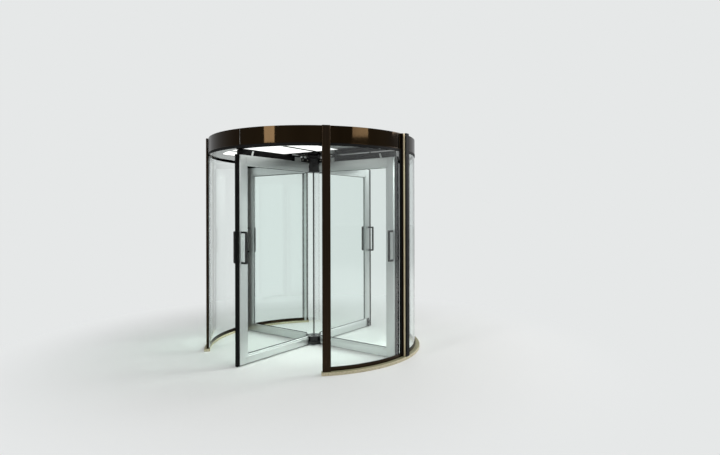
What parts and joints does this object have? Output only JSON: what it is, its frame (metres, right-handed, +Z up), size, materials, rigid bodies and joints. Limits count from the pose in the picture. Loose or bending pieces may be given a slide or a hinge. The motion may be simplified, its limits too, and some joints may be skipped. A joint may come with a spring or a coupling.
{
  "type": "revolving door",
  "caption": "Manual revolving door: framed glass wings turn on a slim centre shaft in a drum with curved glass walls, dark bronze posts and a polished round canopy.",
  "frame": {"origin": "on the floor, on the axis that the wings turn about", "axes": "+X along the facade to the right as seen from the lobby, +Y through the door to the street, +Z up"},
  "size_m": [2.513, 2.412, 2.4],
  "materials": {
    "kerb_stone": "honed sandstone",
    "bronze_anodised": "dark bronze anodised, satin",
    "clear_glass": "clear laminated safety glass",
    "satin_aluminium": "natural anodised, satin",
    "champagne_anodised": "champagne anodised, brushed",
    "polished_bronze": "mirror polished dark bronze",
    "opal_acrylic": "opal diffuser",
    "black_rubber": "black rubber and brush pile",
    "black_coated": "black powder coat, satin"
  },
  "bodies": {
    "drum": {"kerb_left": "kerb_stone", "kerb_right": "kerb_stone", "wall_rail_left": "bronze_anodised", "wall_rail_right": "bronze_anodised", "head_rails": "bronze_anodised", "pane_inner_left": "clear_glass", "pane_inner_right": "clear_glass", "pane_outer_left": "clear_glass", "pane_outer_right": "clear_glass", "end_post_inner_left": "bronze_anodised", "end_post_inner_right": "bronze_anodised", "end_post_outer_left": "bronze_anodised", "end_post_outer_right": "bronze_anodised", "edge_trims": "satin_aluminium", "junction_post_left": "champagne_anodised", "junction_post_right": "champagne_anodised", "junction_infill": "black_coated", "fascia_inner_left": "polished_bronze", "fascia_inner_right": "polished_bronze", "fascia_outer_left": "polished_bronze", "fascia_outer_right": "polished_bronze", "fascia_lip": "black_coated", "soffit": "polished_bronze", "light_panels": "opal_acrylic", "canopy_frame": "bronze_anodised", "roof_plate": "bronze_anodised", "top_bearing": "black_coated", "floor_plate": "black_coated"},
    "rotor": {"hub_top": "black_coated", "hub_bottom": "black_coated", "centre_shaft": "black_coated", "wing_frame_1": "satin_aluminium", "wing_frame_2": "satin_aluminium", "wing_frame_3": "satin_aluminium", "wing_frame_4": "satin_aluminium", "wing_glass_1": "clear_glass", "wing_glass_2": "clear_glass", "wing_glass_3": "clear_glass", "wing_glass_4": "clear_glass", "wing_seals_1": "black_rubber", "wing_seals_2": "black_rubber", "wing_seals_3": "black_rubber", "wing_seals_4": "black_rubber", "pull_handles": "black_coated", "floor_bolt": "black_coated"}
  },
  "joints": [
    {"name": "wing_turn", "type": "hinge", "parent": "drum", "child": "rotor", "pos_m": [0, 0, 0], "axis": [0, 0, 1], "continuous": true}
  ]
}
